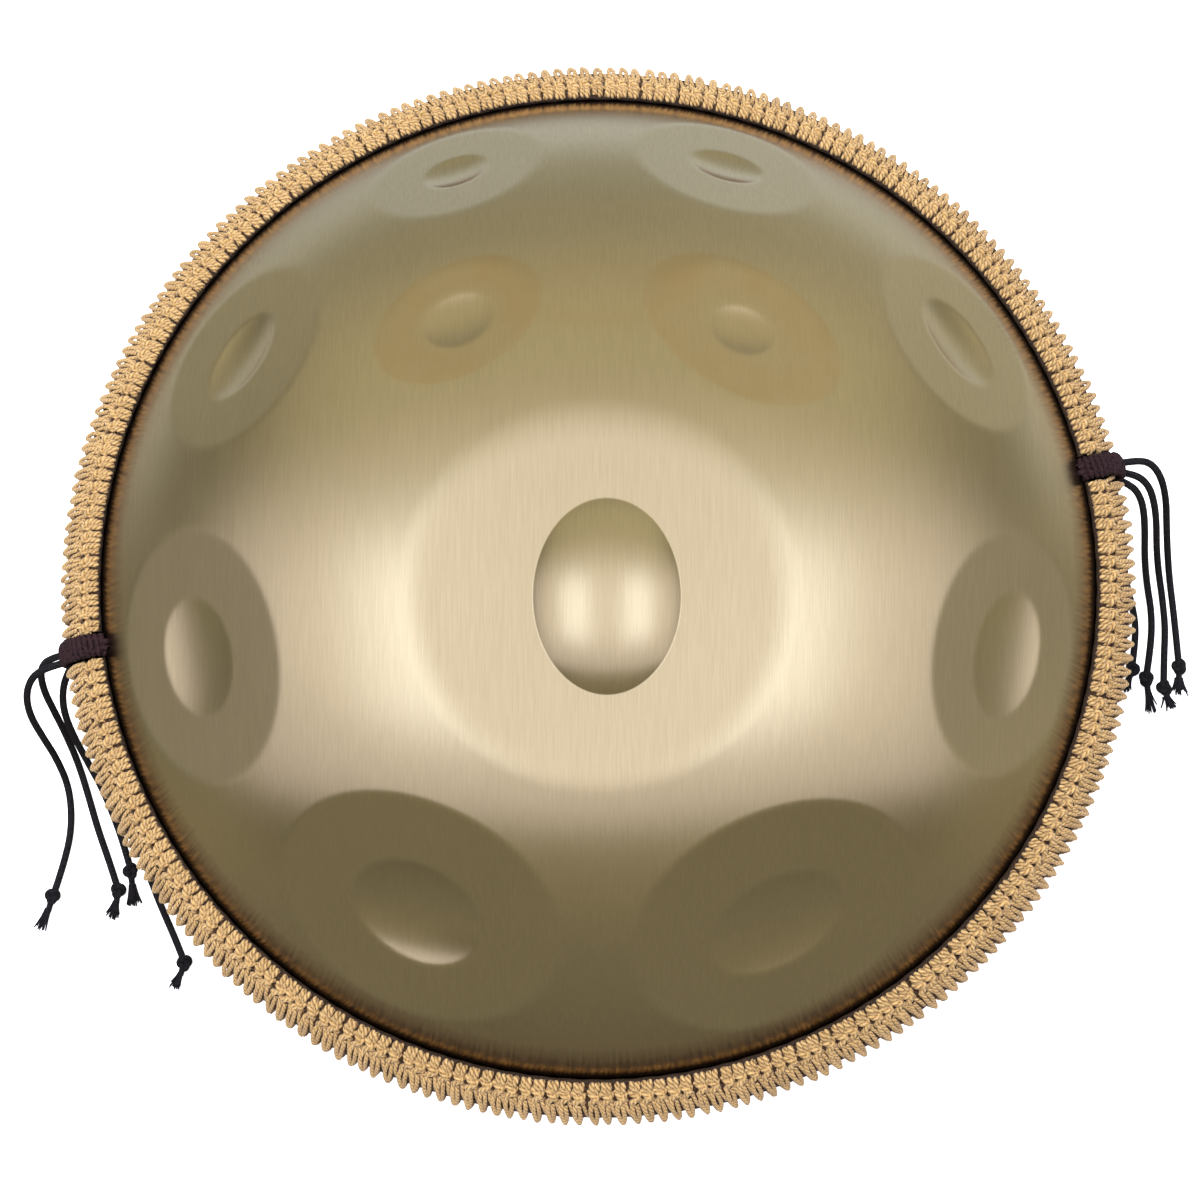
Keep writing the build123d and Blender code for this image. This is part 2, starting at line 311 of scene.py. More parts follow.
def make_top_shell(material):
    outer = playing_surface()
    normals = grid_normals(outer)
    inner = (outer - SHEET * normals)[::-3]
    top = SEAM_GAP + SHEET
    outer_r = FLANGE_R / MM
    flange = lathe_rings([(DOME_R + 0.25, top + 0.05), (DOME_R + 0.8, top), (outer_r - 0.5, top),
                          (outer_r - 0.1, top - 0.15), (outer_r, top - 0.5),
                          (outer_r, SEAM_GAP + 0.3), (outer_r - 0.3, SEAM_GAP),
                          (DOME_R, SEAM_GAP), (DOME_R - SHEET, SEAM_GAP)])
    return steel_object("steel_shell_top", np.concatenate([outer, flange, inner]), material,
                        "steel_top", "top_shell")


def make_bottom_shell(material):
    land = -RIM_Z / MM
    r, z = dome_curve(BOTTOM_H, 0.0, 2.0)
    on_wall = z < -land
    wall = np.stack([r[on_wall], -z[on_wall]], -1)[:-1]
    turn = np.linspace(0, pi / 2, 9)
    lip = np.stack([PORT_R + PORT_LIP_R * (1 - np.sin(turn)),
                    land + PORT_LIP_R * (1 - np.cos(turn))], -1)
    neck_top = land + PORT_LIP_R + PORT_NECK
    thin = PORT_LIP_R - SHEET
    lip_in = np.stack([PORT_R + PORT_LIP_R - thin * np.sin(turn),
                       land + PORT_LIP_R - thin * np.cos(turn)], -1)[::-1]
    seam, outer_r = -SEAM_GAP, FLANGE_R / MM
    profile = [(DOME_R - SHEET, seam), (DOME_R, seam), (outer_r - 0.3, seam),
               (outer_r, seam - 0.3), (outer_r, seam - 0.9), (outer_r - 0.3, seam - SHEET),
               (DOME_R + 0.8, seam - SHEET), (DOME_R, seam - SHEET - 0.6)]
    profile += wall[::-1][2:].tolist()
    profile += [(wall[0][0] - 3, land), (PORT_R + PORT_LIP_R + 1, land)]
    profile += lip.tolist()
    profile += [(PORT_R, neck_top - 0.3), (PORT_R + 0.3, neck_top),
                (PORT_R + SHEET - 0.3, neck_top), (PORT_R + SHEET, neck_top - 0.3)]
    profile += lip_in.tolist()
    slope = dome_slope(wall[:, 0], BOTTOM_H)
    inside = np.stack([wall[:, 0] - SHEET * np.sin(slope), wall[:, 1] + SHEET * np.cos(slope)], -1)
    profile += [(wall[0][0] - 2, land + SHEET)] + inside[:-2:3].tolist()
    profile += [(DOME_R - SHEET, seam - 4), (DOME_R - SHEET, seam)]
    return steel_object("steel_shell_bottom", lathe_rings(profile, 480), material,
                        "steel_bottom", "bottom_shell")


# heat tints round the inner notes: azimuth, radius, half axes, strength, width of the soft edge
HEAT_SPOTS = [(90.0, 126.0, 62.0, 30.0, 0.55, 0.75), (121.8, 133.0, 46.0, 33.0, 0.75, 0.07),
              (56.0, 129.5, 55.0, 37.0, 0.70, 0.07)]
HEAT_COLOUR = (0.90, 0.79, 0.66)
# painted shade under the rope at the foot of the top dome: radius in mm, and what it leaves of the
# steel's colour
RIM_PAINTED_SHADE = [(247.0, (1.0, 1.0, 1.0)), (252.0, (0.76, 0.70, 0.70)), (255.0, (0.46, 0.40, 0.43)),
              (258.5, (0.22, 0.19, 0.22)), (262.0, (0.09, 0.08, 0.09))]


def heat_tint(n, spot, azimuth, radius, long, short, strength, soft):
    """An oval patch, seen from above, that fades at its edge and is broken up by clouds."""
    a = radians(azimuth)
    unit_space = n.add("ShaderNodeMapping", {
        "Vector": spot, "Location": (radius * cos(a) * MM, radius * sin(a) * MM, 0.0),
        "Rotation": (0.0, 0.0, a + pi / 2), "Scale": (long * MM, short * MM * 0.93, 1000.0)},
        vector_type="TEXTURE").outputs["Vector"]
    length = n.add("ShaderNodeVectorMath", {0: unit_space}, operation="LENGTH").outputs["Value"]
    edge = n.add("ShaderNodeMapRange", {"Value": length, "From Min": 1.03,
                                        "From Max": 1.03 - soft},
                 interpolation_type="SMOOTHSTEP").outputs["Result"]
    core = n.add("ShaderNodeMapRange", {"Value": length, "From Min": 0.34, "From Max": 0.60,
                                        "To Min": 0.35}).outputs["Result"]
    cloud = n.noise(n.stretched(spot, (30.0, 30.0, 30.0)), 1.0, 3.0, 0.6)
    cloud = n.add("ShaderNodeMapRange", {"Value": cloud, "From Min": 0.35, "From Max": 0.65,
                                         "To Min": 0.45 * strength,
                                         "To Max": strength}).outputs["Result"]
    both = n.add("ShaderNodeMath", {0: edge, 1: core}, operation="MULTIPLY").outputs["Value"]
    return n.add("ShaderNodeMath", {0: both, 1: cloud}, operation="MULTIPLY").outputs["Value"]


def rim_painted_shade(n, spot):
    """Painted shade and reflection: brown, streaked down the slope, that deepens towards the foot
    of the dome under the rope.
    """
    axes = n.add("ShaderNodeSeparateXYZ", {"Vector": spot}).outputs

    def math(operation, a, b=0.0):
        return n.add("ShaderNodeMath", {0: a, 1: b}, operation=operation).outputs["Value"]

    radius = math("SQRT", math("ADD", math("MULTIPLY", axes["X"], axes["X"]),
                               math("MULTIPLY", axes["Y"], axes["Y"])))
    turn = math("ARCTAN2", axes["Y"], axes["X"])
    along = n.add("ShaderNodeCombineXYZ", {0: math("MULTIPLY", turn, 150.0),
                                           1: math("MULTIPLY", radius, 60.0)}).outputs["Vector"]
    streak = math("MULTIPLY", math("SUBTRACT", n.noise(along, 1.0, 2.0, 0.6), 0.5), 0.008)
    low, high = RIM_PAINTED_SHADE[0][0] * MM, RIM_PAINTED_SHADE[-1][0] * MM
    down_slope = n.add("ShaderNodeMapRange", {
        "Value": math("ADD", radius, streak), "From Min": low,
        "From Max": high}).outputs["Result"]
    return n.ramp(down_slope, [((r * MM - low) / (high - low), c) for r, c in RIM_PAINTED_SHADE])


def steel_material(name, tint, spots=(), painted_rim_shade=False):
    """Satin gold steel, brushed along Y, with faint heat tints round the inner notes."""
    material, n = new_material(name)
    spot = n.add("ShaderNodeTexCoord").outputs["Object"]
    fine = n.noise(n.stretched(spot, (1500.0, 45.0, 300.0)), 1.0, 3.0, 0.6)
    broad = n.noise(n.stretched(spot, (160.0, 12.0, 30.0)), 1.0, 2.0, 0.5)
    cloud = n.noise(spot, 7.0, 3.0, 0.55)
    brushed = n.ramp(fine, [(0.30, (0.90, 0.90, 0.90)), (0.70, (1.0, 1.0, 1.0))])
    colour = n.ramp(cloud, [(0.35, tuple(0.95 * c for c in tint)), (0.65, tint)])
    colour = n.mix(1.0, colour, brushed, "MULTIPLY")
    for oval in spots:
        colour = n.mix(heat_tint(n, spot, *oval), colour,
                       tuple(c * h for c, h in zip(tint, HEAT_COLOUR)))
    # painted shade: darkens the steel towards the rope, standing for the rope's shadow and its
    # dark reflection
    if painted_rim_shade:
        colour = n.mix(1.0, colour, rim_painted_shade(n, spot), "MULTIPLY")
    n.link(colour, n.bsdf.inputs["Base Color"])
    n.bsdf.inputs["Metallic"].default_value = 1.0
    rough = n.add("ShaderNodeMapRange", {"Value": broad, "To Min": 0.235, "To Max": 0.275})
    n.link(rough.outputs["Result"], n.bsdf.inputs["Roughness"])
    n.bsdf.inputs["Anisotropic"].default_value = 0.5
    tangent = n.add("ShaderNodeTangent", direction_type="UV_MAP", uv_map="brush")
    n.link(tangent.outputs["Tangent"], n.bsdf.inputs["Tangent"])
    bump = n.add("ShaderNodeBump", {"Strength": 0.10, "Distance": 0.0002, "Height": fine})
    n.link(bump.outputs["Normal"], n.bsdf.inputs["Normal"])
    return material


# ---- tubes --------------------------------------------------------------------------------
def unit(v):
    return v / np.maximum(np.linalg.norm(v, axis=-1, keepdims=True), 1e-9)


def smooth_paths(control, samples):
    """Uniform quadratic B-spline through a batch of control rows, ends clamped."""
    control = np.concatenate([control[:, :1], control, control[:, -1:]], 1)
    spans = control.shape[1] - 2
    at = np.linspace(0, spans - 1e-6, samples)
    k = at.astype(int)
    u = (at - k)[None, :, None]
    a, b, c = control[:, k], control[:, k + 1], control[:, k + 2]
    return 0.5 * (1 - u) ** 2 * a + (0.5 + u - u * u) * b + 0.5 * u * u * c


def tube_batch(paths, reference, radius, sides, plies, lay, lobe, random_tone, taper=None):
    """Laid strands along a batch of paths: points, faces, and a UV and a tone per point.

    paths and reference are (strands, samples, 3) in mm; the section has one lobe for each ply
    and turns once in every lay millimetres; tone is (groove depth, which the rope turns into
    painted shade in the grooves, and the strand's own tone, where -1 gives painted shade inside
    the band).
    """
    strands, samples, _ = paths.shape
    tangent = unit(np.gradient(paths, axis=1))
    side = unit(np.cross(reference, tangent))
    front = np.cross(tangent, side)
    step = np.linalg.norm(np.diff(paths, axis=1), axis=-1)
    run = np.concatenate([np.zeros((strands, 1)), np.cumsum(step, 1)], 1)
    angle = (np.arange(sides) * 2 * pi / sides)[None, None, :]
    twist = 2 * pi * run[..., None] / lay + random_tone[:, None, None] * 6.0
    wave = np.abs(np.cos(plies / 2 * (angle - twist)))
    size = np.broadcast_to(np.asarray(radius, float), (strands,))[:, None, None]
    r = size * (1 - lobe + lobe * wave ** 0.8)
    if taper is not None:
        r = r * taper[None, :, None]
    points = (paths[:, :, None] + r[..., None] * (np.cos(angle)[..., None] * front[:, :, None]
                                                  + np.sin(angle)[..., None] * side[:, :, None]))
    faces = grid_faces(samples, sides)
    faces = (faces[None] + (np.arange(strands) * samples * sides)[:, None, None]).reshape(-1, 4)
    uv = np.stack([np.broadcast_to(run[..., None], wave.shape),
                   np.broadcast_to((angle - twist) * size, wave.shape)], -1)
    tone = np.stack([wave, np.broadcast_to(random_tone[:, None, None], wave.shape)], -1)
    return points.reshape(-1, 3), faces, uv.reshape(-1, 2), tone.reshape(-1, 2)


def join_tubes(batches):
    points, faces, uvs, tones, start = [], [], [], [], 0
    for p, f, u, t in batches:
        points.append(p)
        faces.append(f + start)
        uvs.append(u)
        tones.append(t)
        start += len(p)
    return (np.concatenate(points), np.concatenate(faces), np.concatenate(uvs),
            np.concatenate(tones))


def tube_object(name, batches, material, scale=MM):
    points, faces, uv, tone = join_tubes(batches)
    obj = new_mesh_object(name, points * scale, faces, material)
    index = np.empty(len(obj.data.loops), int)
    obj.data.loops.foreach_get("vertex_index", index)
    for layer_name, values in (("strand", uv), ("tone", tone)):
        layer = obj.data.uv_layers.new(name=layer_name)
        layer.data.foreach_set("uv", values[index].astype(np.float32).ravel())
    return obj


# ---- rope band ----------------------------------------------------------------------------
TIE_LEFT, TIE_RIGHT, TIE_HALF_ANGLE = 188.3, 12.0, 1.55
UNITS = 248
BAND_SECTION = [(264.8, 8.0), (263.2, 12.5), (262.0, 18.8), (266.5, 19.0), (272.5, 16.6),
                (277.8, 13.3), (281.0, 10.0), (283.4, 5.3), (284.3, 0.0), (283.4, -5.3),
                (281.0, -10.0), (277.8, -13.3), (272.5, -16.6), (266.5, -19.0),
                (262.0, -18.8), (263.2, -12.5), (264.8, -8.0)]
STRAND_R, LEAF_R, SLANT_R, FILLER_R = 1.55, 1.28, 1.05, 1.7
INNER_EDGE = (263.4, 18.4)              # where the run along the section is zero
ROPE_LAY = 6.5                          # length of one turn of the strands' twist
PAINTED_SHADE_TONE = -1.0                        # painted shade: the strands inside the band are coloured nearly black, for the shadow in the gaps
LOOSE, LOOSE_AT = 1.1, radians(-50)     # the inner edge stands off most at the front right

# One knot of the band: control points (along the ring, out from the inner edge, proud of the
# strands' bed) in mm, where the pitch between knots is one unit along the ring.
LEFT_BAR = [(-0.20, -3.6, -1.7), (-0.21, -1.8, 0.3), (-0.215, 1.2, 0.5), (-0.19, 4.4, 0.4),
            (-0.12, 7.6, -0.3), (0.10, 10.8, -1.8)]
RIGHT_BAR = [(0.20, -3.6, -1.7), (0.21, -1.8, 0.2), (0.215, 1.2, 0.4), (0.19, 4.4, 0.3),
             (0.12, 7.6, -0.6), (-0.10, 10.8, -2.0)]
WRAP_DOWN = [(-0.40, 6.0, -2.4), (-0.33, 7.0, -0.2), (-0.04, 8.8, 1.2), (0.28, 10.8, 0.3),
             (0.38, 12.8, -2.2)]
WRAP_UP = [(0.40, 6.6, -2.6), (0.31, 8.4, -0.1), (0.03, 10.8, 1.0), (-0.28, 12.6, 0.1),
           (-0.36, 14.4, -2.2)]
LEAF = [(-0.02, 10.5, -1.6), (-0.24, 13.2, -0.3), (-0.27, 17.5, 0.5), (-0.16, 22.0, 1.2),
        (0.10, 26.2, 2.3), (0.16, 27.6, 1.9), (0.22, 23.0, 0.6), (0.16, 18.5, 0.2),
        (0.02, 13.5, -0.6)]
SLANT = [(0.18, 11.0, -1.5), (0.36, 13.5, -0.6), (0.52, 17.5, -0.6), (0.68, 21.5, -1.0),
         (0.80, 25.0, -2.0)]
FILLERS = [(2.5, -3.6), (6.5, -3.8), (10.5, -3.8), (14.5, -3.4), (18.5, -3.2), (22.5, -3.2),
           (26.5, -3.6)]


def section_table():
    """The band's section as an even table: run from the upper inner edge, r, z and normal."""
    control = np.array(BAND_SECTION)[None]
    curve = smooth_paths(control, 800)[0]
    run = np.concatenate([[0], np.cumsum(np.linalg.norm(np.diff(curve, axis=0), axis=1))])
    start = run[np.argmin(np.hypot(curve[:, 0] - INNER_EDGE[0], curve[:, 1] - INNER_EDGE[1]))]
    tangent = unit(np.gradient(curve, axis=0))
    normal = np.stack([-tangent[:, 1], tangent[:, 0]], -1)
    if normal[400, 0] < 0:
        normal = -normal
    return run - start, curve, normal


SECTION_RUN, SECTION_CURVE, SECTION_NORMAL = section_table()


def on_band(azimuth, out, proud, side):
    """Place band coordinates in space; side is 1 above the seam and -1 below it."""
    r = np.interp(out, SECTION_RUN, SECTION_CURVE[:, 0])
    z = np.interp(out, SECTION_RUN, SECTION_CURVE[:, 1])
    nr = np.interp(out, SECTION_RUN, SECTION_NORMAL[:, 0])
    nz = np.interp(out, SECTION_RUN, SECTION_NORMAL[:, 1])
    r, z = r + proud * nr, (z + proud * nz) * side
    r = r + LOOSE * (1 + np.cos(azimuth - LOOSE_AT)) / 2 * np.clip(1 - out / 6, 0, 1)
    c, s = np.cos(azimuth), np.sin(azimuth)
    spots = np.stack([r * c, r * s, z + RIM_Z / MM], -1)
    normal = np.stack([nr * c, nr * s, nz * side + 0 * c], -1)
    return spots, unit(normal)


def knot_strands(centres, pitch, shape, samples, side, radius, sides, rng, wander=0.03):
    control = np.broadcast_to(np.array(shape), (len(centres), len(shape), 3)).copy()
    control[..., 0] += rng.normal(0, wander, control.shape[:2])
    control[..., 1] += rng.normal(0, 0.35, control.shape[:2])
    control[..., 2] += rng.normal(0, 0.22, control.shape[:2])
    path = smooth_paths(control, samples)
    azimuth = centres[:, None] + path[..., 0] * pitch
    spots, normal = on_band(azimuth, path[..., 1], path[..., 2] - radius, side)
    size = radius * (1 + rng.normal(0, 0.04, len(centres)))
    return tube_batch(spots, normal, size, sides, 3, ROPE_LAY, 0.24, rng.random(len(centres)))


def make_rope_band(name, node, start, end, material, seed):
    rng = np.random.default_rng(seed)
    count = int(round((end - start) / 360 * UNITS))
    pitch = radians(end - start) / count
    centres = radians(start) + (np.arange(count) + 0.5) * pitch
    centres = centres + rng.normal(0, 0.05 * pitch, count)
    batches = []
    for side, fine in ((1, 1.0), (-1, 0.55)):
        sides = 12 if side > 0 else 8
        for shape, length, radius in ((LEFT_BAR, 15, STRAND_R), (RIGHT_BAR, 15, STRAND_R),
                                      (WRAP_DOWN, 12, STRAND_R), (WRAP_UP, 12, STRAND_R),
                                      (LEAF, 34, LEAF_R), (SLANT, 15, SLANT_R)):
            samples = int(length * fine) + 4
            batches.append(knot_strands(centres, pitch, shape, samples, side, radius, sides,
                                        rng))
    # painted shade: the filler strands, nearly black, stand for the shadow seen through the gaps
    # between the knots
    for out, proud in FILLERS:
        for side in (1, -1):
            azimuth = np.linspace(centres[0] - 0.3 * pitch, centres[-1] + 0.3 * pitch,
                                  count * 4)[None]
            spots, normal = on_band(azimuth, np.full_like(azimuth, out),
                                    np.full_like(azimuth, proud), side)
            batches.append(tube_batch(spots, normal, FILLER_R, 8, 3, ROPE_LAY, 0.2,
                                      np.array([PAINTED_SHADE_TONE])))
    obj = tube_object(name, batches, material)
    return place(obj, "jute_rope", node)


def rope_material():
    material, n = new_material("jute_rope")
    strand = n.add("ShaderNodeUVMap", uv_map="strand").outputs["UV"]
    tone = n.add("ShaderNodeUVMap", uv_map="tone").outputs["UV"]
    tone = n.add("ShaderNodeSeparateXYZ", {"Vector": tone})
    fibre = n.noise(n.stretched(strand, (0.35, 3.2, 1.0)), 1.0, 3.0, 0.65)
    fuzz = n.noise(n.stretched(strand, (1.2, 1.6, 1.0)), 1.0, 2.0, 0.5)
    # painted shade: the grooves between the plies are darkened and the crests lightened
    shade = n.ramp(tone.outputs["X"], [(0.14, (0.12, 0.058, 0.018)), (0.50, (0.46, 0.285, 0.108)),
                                       (0.90, (0.73, 0.51, 0.23))])
    streak = n.ramp(fibre, [(0.30, (0.66, 0.60, 0.52)), (0.52, (0.98, 0.97, 0.94)),
                            (0.72, (1.0, 1.0, 1.0))])
    # the lowest stop is the painted shade of the strands inside the band; the others vary each
    # strand's own tone
    own = n.add("ShaderNodeMapRange", {"Value": tone.outputs["Y"], "From Min": -1.0}).outputs[0]
    own = n.ramp(own, [(0.0, (0.09, 0.065, 0.045)), (0.45, (0.78, 0.75, 0.70)),
                       (0.55, (0.86, 0.84, 0.80)), (1.0, (1.0, 1.0, 1.0))])
    colour = n.mix(1.0, shade, streak, "MULTIPLY")
    colour = n.mix(1.0, colour, own, "MULTIPLY")
    n.link(colour, n.bsdf.inputs["Base Color"])
    n.bsdf.inputs["Roughness"].default_value = 0.82
    n.bsdf.inputs["Specular IOR Level"].default_value = 0.25
    n.bsdf.inputs["Sheen Weight"].default_value = 0.15
    n.bsdf.inputs["Sheen Roughness"].default_value = 0.5
    height = n.add("ShaderNodeMath", {0: fibre, 1: fuzz}, operation="ADD").outputs["Value"]
    bump = n.add("ShaderNodeBump", {"Strength": 0.7, "Distance": 0.0004, "Height": height})
    n.link(bump.outputs["Normal"], n.bsdf.inputs["Normal"])
    return material


# ---- black cord: drawcords, tie knots, tails ----------------------------------------------
CORD_D = 0.0040                         # metres
DRAWCORD_TUBE_R = 1.62                  # mm, over the crests of the plies
DRAWCORD_R, DRAWCORD_Z = 263.6, 15.6
KNOT_HEIGHT, FRAY_FLOOR = 4.3, 0.65     # of the end knots' middles and the frays' strands
FRAY_STRANDS, FRAY_STEPS, FRAY_START = 32, 9, 0.36
# Routes of the free ends in mm, then the centre of the end knot and the tip of the fray.
TAILS = {
    "left_a": ([(-283, -45.5, 120), (-292, -48, 120.5), (-301, -52, 114), (-308, -59, 96),
                (-311, -67, 72), (-310, -75, 46), (-307, -85, 20), (-303, -100, 3),
                (-301, -121, 2.0), (-304, -140, 2.0), (-309, -157.5, 3)],
               (-310.2, -161.5), (-316, -181)),
    "left_b": ([(-284, -40, 113), (-293, -41.5, 111), (-300, -46, 100), (-302.5, -54, 79),
                (-301.5, -63, 54), (-300, -73, 29), (-297, -87, 8), (-292, -105, 2.0),
                (-286, -124, 2.0), (-279, -142, 2.0), (-274.5, -154.5, 3)],
               (-273, -158.3), (-276, -175)),
    "left_c": ([(-280, -42.5, 107), (-285, -47, 99), (-291, -54, 84), (-295, -63, 62),
                (-295, -73, 37), (-291, -86, 13), (-284, -101, 2.0), (-277, -117, 2.0),
                (-272, -130, 2.0), (-267.5, -143.5, 3)],
               (-266.4, -147.4), (-264, -168)),
    "left_d": ([(-275, -40.5, 104), (-277, -44, 94.5), (-281, -51, 79), (-283, -60, 57),
                (-282, -71, 32), (-278, -85, 10), (-271, -103, 2.0), (-264, -124, 2.0),
                (-258, -145, 2.0), (-250, -165, 2.0), (-241, -184, 2.0), (-236, -195.5, 3)],
               (-234.4, -199.2), (-240, -215)),
    "right_a": ([(273.5, 55, 104), (278, 51.5, 95), (285, 46, 80), (291.5, 40, 59),
                 (297, 33, 35), (302.5, 24, 13), (308, 11, 2.0), (311, -5, 2.0),
                 (310, -19, 2.0), (308, -29.5, 3)],
                (307.3, -33.4), (303, -47)),
    "right_b": ([(280, 55, 109), (288.5, 52.5, 106), (296, 48.5, 94), (302, 43, 75),
                 (307.5, 36, 50), (312.5, 28, 25), (317.5, 16, 6), (320.5, 0, 2.0),
                 (319.5, -18, 2.0), (316, -35, 3)],
                (315.2, -38.9), (318, -59)),
    "right_c": ([(281, 57.5, 114), (290, 57, 112), (299, 53, 102), (306, 47.5, 83),
                 (312.5, 41, 58), (318, 34, 32), (323.5, 24, 10), (327, 9, 2.0),
                 (328, -9, 2.0), (326.5, -26, 2.0), (325.5, -40, 3)],
                (325.2, -44), (329.5, -57)),
    "right_d": ([(280, 61, 121), (289, 62.5, 121.5), (298, 62, 116), (306.5, 57, 101),
                 (314, 50, 77), (320, 42, 50), (326, 33, 24), (331, 20, 4.5),
                 (333, 3, 2.0), (334, -14, 2.0), (334.5, -28, 3)],
                (334.5, -32), (334, -49)),
}


def black_cord_material(name, dark, light):
    """Braided black cord: fine diagonal plaits and a little dust."""
    material, n = new_material(name)
    spot = n.add("ShaderNodeTexCoord").outputs["Object"]
    waves = []
    for lean in ((1.0, 1.0, 0.6), (-1.0, 1.0, -0.6)):
        turned = n.add("ShaderNodeMapping", {"Vector": spot, "Rotation": lean}).outputs["Vector"]
        waves.append(n.add("ShaderNodeTexWave", {"Vector": turned, "Scale": 260.0,
                                                 "Distortion": 1.5}).outputs["Fac"])
    plait = n.add("ShaderNodeMath", {0: waves[0], 1: waves[1]}, operation="MAXIMUM")
    grain = n.noise(spot, 900.0, 2.0, 0.6)
    shade = n.mix(plait.outputs["Value"], dark, light)
    speck = n.ramp(grain, [(0.35, (0.75, 0.75, 0.75)), (0.75, (1.0, 1.0, 1.0))])
    n.link(n.mix(1.0, shade, speck, "MULTIPLY"), n.bsdf.inputs["Base Color"])
    n.bsdf.inputs["Roughness"].default_value = 0.72
    n.bsdf.inputs["Specular IOR Level"].default_value = 0.3
    bump = n.add("ShaderNodeBump", {"Strength": 0.6, "Distance": 0.0003,
                                    "Height": plait.outputs["Value"]})
    n.link(bump.outputs["Normal"], n.bsdf.inputs["Normal"])
    return material


def tail_curve(name, route, material):
    data = bpy.data.curves.new(name, "CURVE")
    data.dimensions = "3D"
    data.resolution_u = 10
    data.bevel_depth = CORD_D / 2
    data.bevel_resolution = 4
    data.use_fill_caps = True
    spline = data.splines.new("NURBS")
    spline.points.add(len(route) - 1)
    for point, spot in zip(spline.points, route):
        point.co = (*(MM * c for c in spot), 1.0)
    spline.order_u = 3
    spline.use_endpoint_u = True
    data.materials.append(material)
    obj = bpy.data.objects.new(name, data)
    bpy.context.scene.collection.objects.link(obj)
    return obj


def end_knot(name, route, centre, tip, material, seed):
    """An overhand knot drawn tight, with the cord's frayed end beyond it."""
    rng = np.random.default_rng(seed)
    middle = np.array([*centre, KNOT_HEIGHT])
    along = unit(np.array([tip[0] - centre[0], tip[1] - centre[1], 0.0]))
    across = np.array([-along[1], along[0], 0.0])
    up = np.array([0.0, 0.0, 1.0])
    spin = rng.uniform(-0.5, 0.5)
    a = np.linspace(0, 2 * pi, 49)
    loop_r = 2.1 + 1.0 * np.cos(3 * a)
    knot = (middle + (loop_r * np.cos(2 * a + spin))[:, None] * along * 1.15
            + (loop_r * np.sin(2 * a + spin))[:, None] * across
            + (1.35 * np.sin(3 * a))[:, None] * up)
    tone = np.array([0.5])
    reference = np.broadcast_to(unit(up + 0.3 * along), knot.shape)[None]
    batches = [tube_batch(knot[None], reference, 1.62, 10, 3, 5.0, 0.08, tone)]
    stem = np.array([route[-1], middle - 1.5 * along, middle + 1.0 * along], float)[None]
    stem = smooth_paths(stem, 12)
    batches.append(tube_batch(stem, np.broadcast_to(up, stem.shape), 1.95, 10, 3, 5.0, 0.05,
                              tone))
    length = np.hypot(tip[0] - centre[0], tip[1] - centre[1])
    neck = smooth_paths(np.array([middle + 1.5 * along, middle + 4.5 * along - 0.8 * up,
                                  middle + 0.42 * length * along - 1.6 * up])[None], 14)
    batches.append(tube_batch(neck, np.broadcast_to(up, neck.shape), 1.8, 10, 3, 5.0, 0.08,
                              tone))
    lean = rng.normal(0, 1.0, FRAY_STRANDS)
    lift = rng.uniform(0.3, 1.0, FRAY_STRANDS)
    reach = rng.uniform(0.72, 1.0, FRAY_STRANDS) * length
    steps = np.linspace(0, 1, FRAY_STEPS)
    start = middle + FRAY_START * length * along - 1.5 * up
    paths = np.zeros((FRAY_STRANDS, FRAY_STEPS, 3))
    for i in range(FRAY_STRANDS):
        spread = 1.9 * lean[i] * (0.35 + 0.65 * steps ** 1.5)
        forward = steps * (reach[i] - FRAY_START * length)
        height = 0.9 * (lift[i] - 0.6) + steps * rng.normal(0, 0.7)
        paths[i] = (start + forward[:, None] * along + spread[:, None] * across
                    + height[:, None] * up)
    paths[..., 2] = np.maximum(paths[..., 2], FRAY_FLOOR)
    taper = np.linspace(1.0, 0.55, FRAY_STEPS)
    batches.append(tube_batch(paths, np.broadcast_to(up, paths.shape), 0.78, 5, 2, 4.0, 0.1,
                              rng.random(FRAY_STRANDS), taper))
    return tube_object(name, batches, material)


def make_tails(cord_material):
    for index, (name, (route, centre, tip)) in enumerate(TAILS.items()):
        cord = tail_curve("cord_tail_" + name, route, cord_material)
        place(cord, "black_cord", "tail_" + name)
        knot = end_knot("cord_knot_" + name, route, centre, tip, cord_material, SEED + index)
        place(knot, "black_cord", "end_knot_" + name)


# The line a tie's turns follow over the band (r, z), and the spacing of the turns.
TIE_SECTION = [(262.3, 13.5), (262.6, 17.6), (268.0, 18.9), (275.0, 17.8), (281.4, 12.4),
               (285.2, 5.2), (286.4, 0.0), (285.2, -5.2), (281.4, -12.4), (275.0, -17.8),
               (268.0, -18.9), (262.6, -17.6), (262.3, -13.5)]
TIE_PITCH = 2.75


